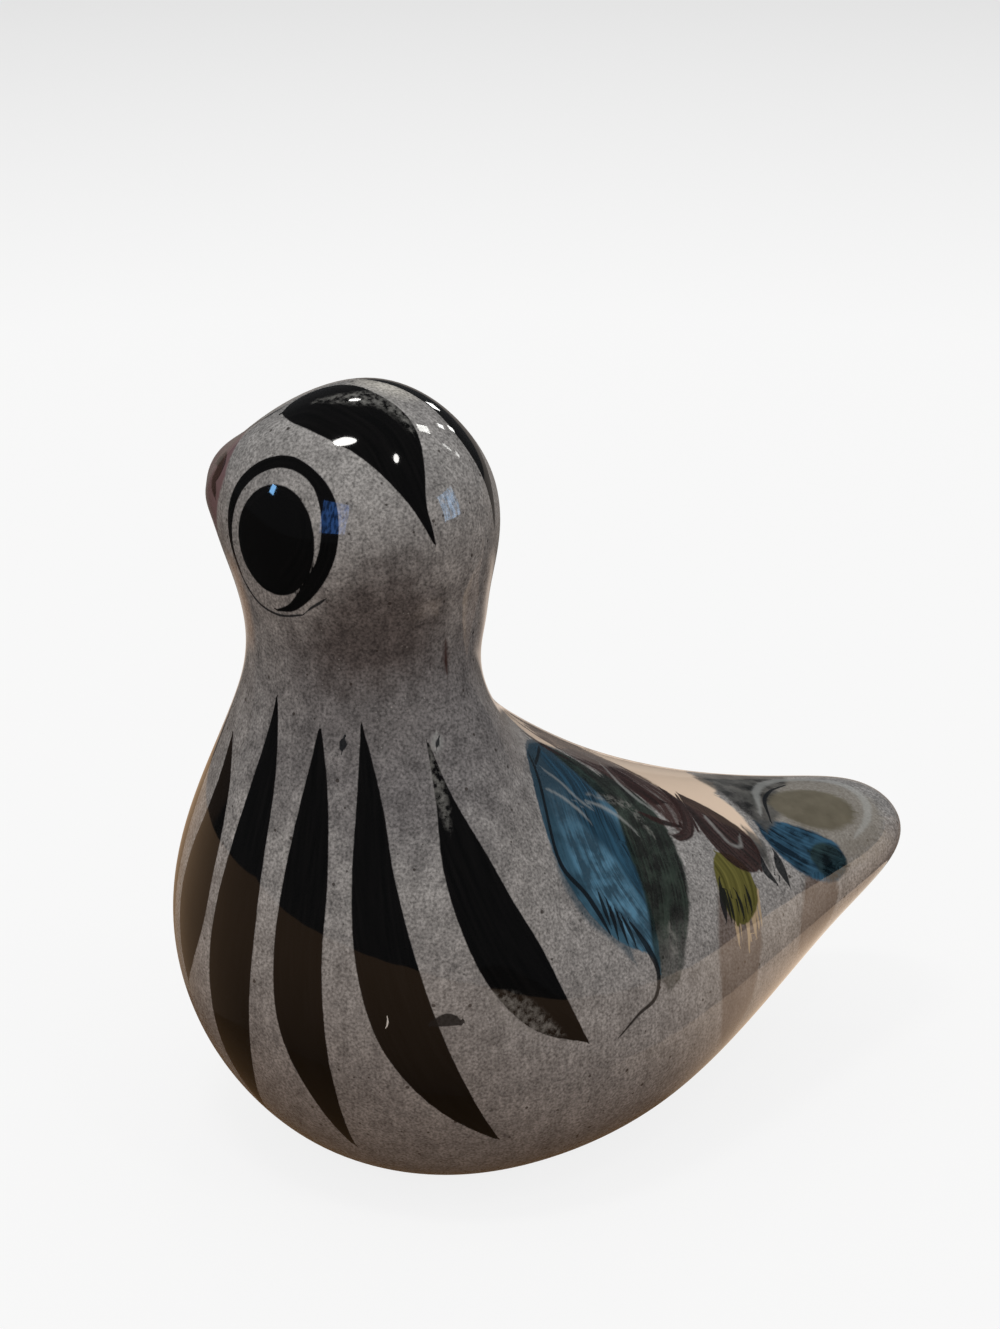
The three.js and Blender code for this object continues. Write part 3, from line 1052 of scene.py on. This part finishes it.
# The light sent up is warm, next to nothing right under the belly and more further out.
from_belly = added(ground, "MapRange", ground_distance, 0.02, 0.07, 0.0, 1.0)
near_light = added(ground, "MixRGB", from_belly, (0.04, 0.015, 0.005, 1), (0.36, 0.18, 0.085, 1))
from_bird = added(ground, "MapRange", ground_distance, 0.08, 0.28, 0.0, 1.0)
sent_up = added(ground, "MixRGB", from_bird, near_light, (0.36, 0.31, 0.27, 1))
unseen = added(ground, "MixRGB", ray_kinds["Is Diffuse Ray"], mirrored, sent_up)
unseen_light = added(ground, "Emission", unseen)
# To the camera the floor glows with painted light, pale near the bird and dimmer further off; a faint
# diffuse coat takes real shadow.
receding = added(ground, "MapRange", ground_distance, 0.35, 1.2, 0.0, 1.0)
pale = added(ground, "MixRGB", receding, (0.84, 0.84, 0.84, 1), (0.55, 0.55, 0.55, 1))
pale_light = added(ground, "Emission", pale)
pale_paint = added(ground, "BsdfDiffuse", (0.1, 0.1, 0.1, 1))
pale_floor = added(ground, "AddShader", pale_light, pale_paint)
either = added(ground, "MixShader", ray_kinds["Is Camera Ray"], unseen_light, pale_floor)
added(ground, "OutputMaterial", either)
floor_mesh.materials.append(floor_material)

# The studio is dark but for a broad soft dome that lights the slip, so that black stays black.
world = bpy.data.worlds.new("studio")
bpy.context.scene.world = world
world.use_nodes = True
sky = world.node_tree
sky.nodes.clear()
sky_rays = added(sky, "LightPath").outputs
dome = added(sky, "MixRGB", sky_rays["Is Diffuse Ray"], (0.05, 0.052, 0.055, 1), (0.8, 0.8, 0.8, 1))
seen = added(sky, "MixRGB", sky_rays["Is Camera Ray"], dome, (0.75, 0.75, 0.75, 1))
added(sky, "OutputWorld", added(sky, "Background", seen))

# A softbox and two small lamps hang over the bird and leave bright spots on the glaze.
STUDIO_CENTRE = Vector((0, 0, 0.05))
LAMP_DISTANCE = 0.6
LAMP_TINT = (1, 0.98, 0.95)
CAMERA_AZIMUTH = math.radians(65)
ACROSS_VIEW = Vector((-math.sin(CAMERA_AZIMUTH), math.cos(CAMERA_AZIMUTH), 0))


def hang_lamp(name, direction, width, height_of_lamp, radiance):
    """Hangs an oval lamp facing the bird. Its power is radiance times pi times its area."""
    towards = Vector(direction).normalized()
    sideways = (ACROSS_VIEW - ACROSS_VIEW.dot(towards) * towards).normalized()
    upwards = towards.cross(sideways)
    lamp_data = bpy.data.lights.new(name, "AREA")
    lamp_data.shape = "ELLIPSE"
    lamp_data.size = width
    lamp_data.size_y = height_of_lamp
    lamp_data.energy = radiance * math.pi * (math.pi / 4 * width * height_of_lamp)
    lamp_data.color = LAMP_TINT
    lamp = bpy.data.objects.new(name, lamp_data)
    turned = Matrix((sideways, upwards, towards)).transposed().to_4x4()
    lamp.matrix_world = Matrix.Translation(STUDIO_CENTRE + towards * LAMP_DISTANCE) @ turned
    bpy.context.scene.collection.objects.link(lamp)


hang_lamp("key softbox", (0.26, 0.07, 0.96), 0.16, 0.07, 27)
hang_lamp("small lamp 1", (-0.17, -0.56, 0.81), 0.06, 0.04, 20)
hang_lamp("small lamp 2", (-0.22, 0.43, 0.88), 0.04, 0.07, 25)

# Small cards close to the head put glints behind the crown, and bluish ones beside the eye, in the
# pupil and behind. Their light is streaked, and only the glaze mirrors them.


def mirrored_only(name, points, faces, material):
    """Stands a card that glossy rays alone see, so it neither shades the slip nor lights it."""
    mesh = bpy.data.meshes.new(name)
    mesh.from_pydata(points, [], faces)
    mesh.materials.append(material)
    thing = bpy.data.objects.new(name, mesh)
    bpy.context.scene.collection.objects.link(thing)
    thing.visible_camera = False
    thing.visible_diffuse = False
    thing.visible_shadow = False


def stand_card(name, mirrored_at, direction, distance, half_size, glow, least=1.0):
    """A small glowing card at the distance along the direction from the place that mirrors it.

    Upright streaks dim it down to the least strength.
    """
    towards = Vector(direction).normalized()
    level = Vector((-towards.y, towards.x, 0)).normalized()
    sideways = level * half_size[0] * MILLIMETRE
    upwards = towards.cross(level) * half_size[1] * MILLIMETRE
    middle = (Vector(mirrored_at) + towards * distance) * MILLIMETRE
    corners = [
        middle - sideways - upwards,
        middle + sideways - upwards,
        middle + sideways + upwards,
        middle - sideways + upwards,
    ]
    material = new_material(name)
    tree = material.node_tree
    upright = added(tree, "VectorMath", added(tree, "TexCoord").outputs["Object"], (900, 900, 100))
    upright.operation = "MULTIPLY"
    streak_marks = added(tree, "TexNoise", upright, Scale=1.0)
    strength = added(tree, "MapRange", streak_marks, 0.4, 0.6, least, 1.1)
    added(tree, "OutputMaterial", added(tree, "Emission", glow, strength))
    mirrored_only(name, corners, [(0, 1, 2, 3)], material)


stand_card("cool card by the eye", (19, 10.7, 78.9), (0.7, 0.6, 0.3), 30, (7, 8), (0.4, 1.1, 3.2, 1), 0.25)
stand_card("cool card behind", (6.6, 12.9, 79.5), (-0.82, 0.55, 0.18), 30, (6, 7), (1.9, 3.4, 5.4, 1), 0.2)
stand_card("glint in the pupil", (23, 4.7, 80.4), (0.92, -0.24, 0.32), 30, (1.2, 2.0), (4, 9, 16, 1))
stand_card("glint 1", (7.1, 7.8, 85.9), (-0.69, -0.15, 0.7), 25, (1.7, 2.3), (12, 12, 11.5, 1))
stand_card("glint 2", (4.0, 3.5, 86.7), (-0.66, -0.72, 0.2), 25, (1.3, 1.5), (9, 9, 8.7, 1))
stand_card("glint 3", (4.6, 6.8, 85.5), (-0.8, -0.4, 0.45), 25, (0.8, 1.2), (10, 10, 9.7, 1))
stand_card("glint 4", (3.2, 6.3, 84.9), (-0.81, -0.51, 0.29), 25, (0.8, 1.1), (9, 9, 8.7, 1))
stand_card("glint 5", (4.9, 9.2, 83.9), (-0.86, -0.1, 0.51), 25, (0.5, 2.2), (6, 6, 5.8, 1))
stand_card("glint 6", (3.8, 9.4, 82.9), (-0.91, -0.15, 0.38), 25, (0.7, 0.9), (6, 6, 5.8, 1))

# A strip of warm card stands on edge around the bird, out of the camera's sight, so that the glaze
# mirrors a warm band low down. Its top edge is cut lower beside the wings, and its foot is darker.
CARD_MIDDLE = np.array([-0.0165, 0, 0])
CARD_HALF_LENGTH = 0.0685
CARD_HALF_WIDTH = 0.048
CARD_AZIMUTHS = [-180, -170, -95, -60, -31, 6, 48, 80, 115, 131, 149, 180]
CARD_HEIGHTS_MM = [44, 18, 24, 36, 38, 40, 33, 26, 25, 27, 31, 44]
card_degrees = np.arange(-180, 180, 3)
card_azimuths = np.radians(card_degrees)
card_heights = np.interp(card_degrees, CARD_AZIMUTHS, CARD_HEIGHTS_MM) * MILLIMETRE
card_x = CARD_HALF_LENGTH * np.cos(card_azimuths)
card_y = CARD_HALF_WIDTH * np.sin(card_azimuths)
card_foot = CARD_MIDDLE + np.stack([card_x, card_y, np.zeros_like(card_x)], axis=1)
card_top = CARD_MIDDLE + np.stack([card_x, card_y, card_heights], axis=1)
here = np.arange(len(card_x))
beside = (here + 1) % len(card_x)
card_faces = np.stack([here, beside, beside + len(card_x), here + len(card_x)], axis=1)
card_material = new_material("warm card")
warm = card_material.node_tree
card_place = added(warm, "TexCoord").outputs["Object"]
warm_x, warm_y, warm_z = added(warm, "SeparateXYZ", card_place).outputs
left_side = added(warm, "MapRange", warm_y, -0.04, 0.0, 0.0, 1.0)
card_front = added(warm, "MixRGB", left_side, (0.5, 0.33, 0.2, 1), (0.32, 0.2, 0.12, 1))
left_of_tail = added(warm, "MapRange", warm_y, 0.004, 0.02, 0.0, 1.0)
right_of_tail = added(warm, "MapRange", warm_y, -0.02, -0.035, 0.0, 1.0)
card_behind = added(warm, "MixRGB", left_of_tail, (0.3, 0.22, 0.17, 1), (1.7, 1.3, 0.95, 1))
card_behind = added(warm, "MixRGB", right_of_tail, card_behind, (0.9, 0.75, 0.62, 1))
behind = added(warm, "MapRange", warm_x, -0.035, -0.065, 0.0, 1.0)
card_glow = added(warm, "MixRGB", behind, card_front, card_behind)
card_strength = added(warm, "MapRange", warm_z, 0.0, 0.03, 0.4, 1.0)
added(warm, "OutputMaterial", added(warm, "Emission", card_glow, card_strength))
mirrored_only("warm card", np.vstack([card_foot, card_top]), card_faces.tolist(), card_material)

# A black eave reaches in from the card's top edge behind the bird's left. The neck looks down on
# the card there, and the eave keeps the card out of its mirror image.
EAVE_FROM_DEGREES = 95
EAVE_INNER_SHARE = 0.65
eave_outer = card_top[card_degrees > EAVE_FROM_DEGREES]
eave_inner = CARD_MIDDLE + (eave_outer - CARD_MIDDLE) * (EAVE_INNER_SHARE, EAVE_INNER_SHARE, 1)
here = np.arange(len(eave_outer) - 1)
inside = here + len(eave_outer)
eave_faces = np.stack([here, here + 1, inside + 1, inside], axis=1)
eave_material = new_material("black card")
black = eave_material.node_tree
added(black, "OutputMaterial", added(black, "BsdfDiffuse", (0.02, 0.02, 0.02, 1)))
mirrored_only("black eave", np.vstack([eave_outer, eave_inner]), eave_faces.tolist(), eave_material)

# The camera looks down at the bird's left side from ahead, as in the photograph.
CAMERA_ELEVATION = math.radians(22)
CAMERA_DISTANCE = 0.34
LOOKED_AT = Vector((-0.006, -0.001, 0.0535))
camera_direction = Vector(
    (
        math.cos(CAMERA_AZIMUTH) * math.cos(CAMERA_ELEVATION),
        math.sin(CAMERA_AZIMUTH) * math.cos(CAMERA_ELEVATION),
        math.sin(CAMERA_ELEVATION),
    )
)
camera_data = bpy.data.cameras.new("camera")
camera_data.lens = 80.8
camera = bpy.data.objects.new("camera", camera_data)
camera.location = LOOKED_AT + camera_direction * CAMERA_DISTANCE
camera.rotation_euler = camera_direction.to_track_quat("Z", "Y").to_euler()
bpy.context.scene.collection.objects.link(camera)
bpy.context.scene.camera = camera
bpy.context.scene.view_settings.view_transform = "Standard"
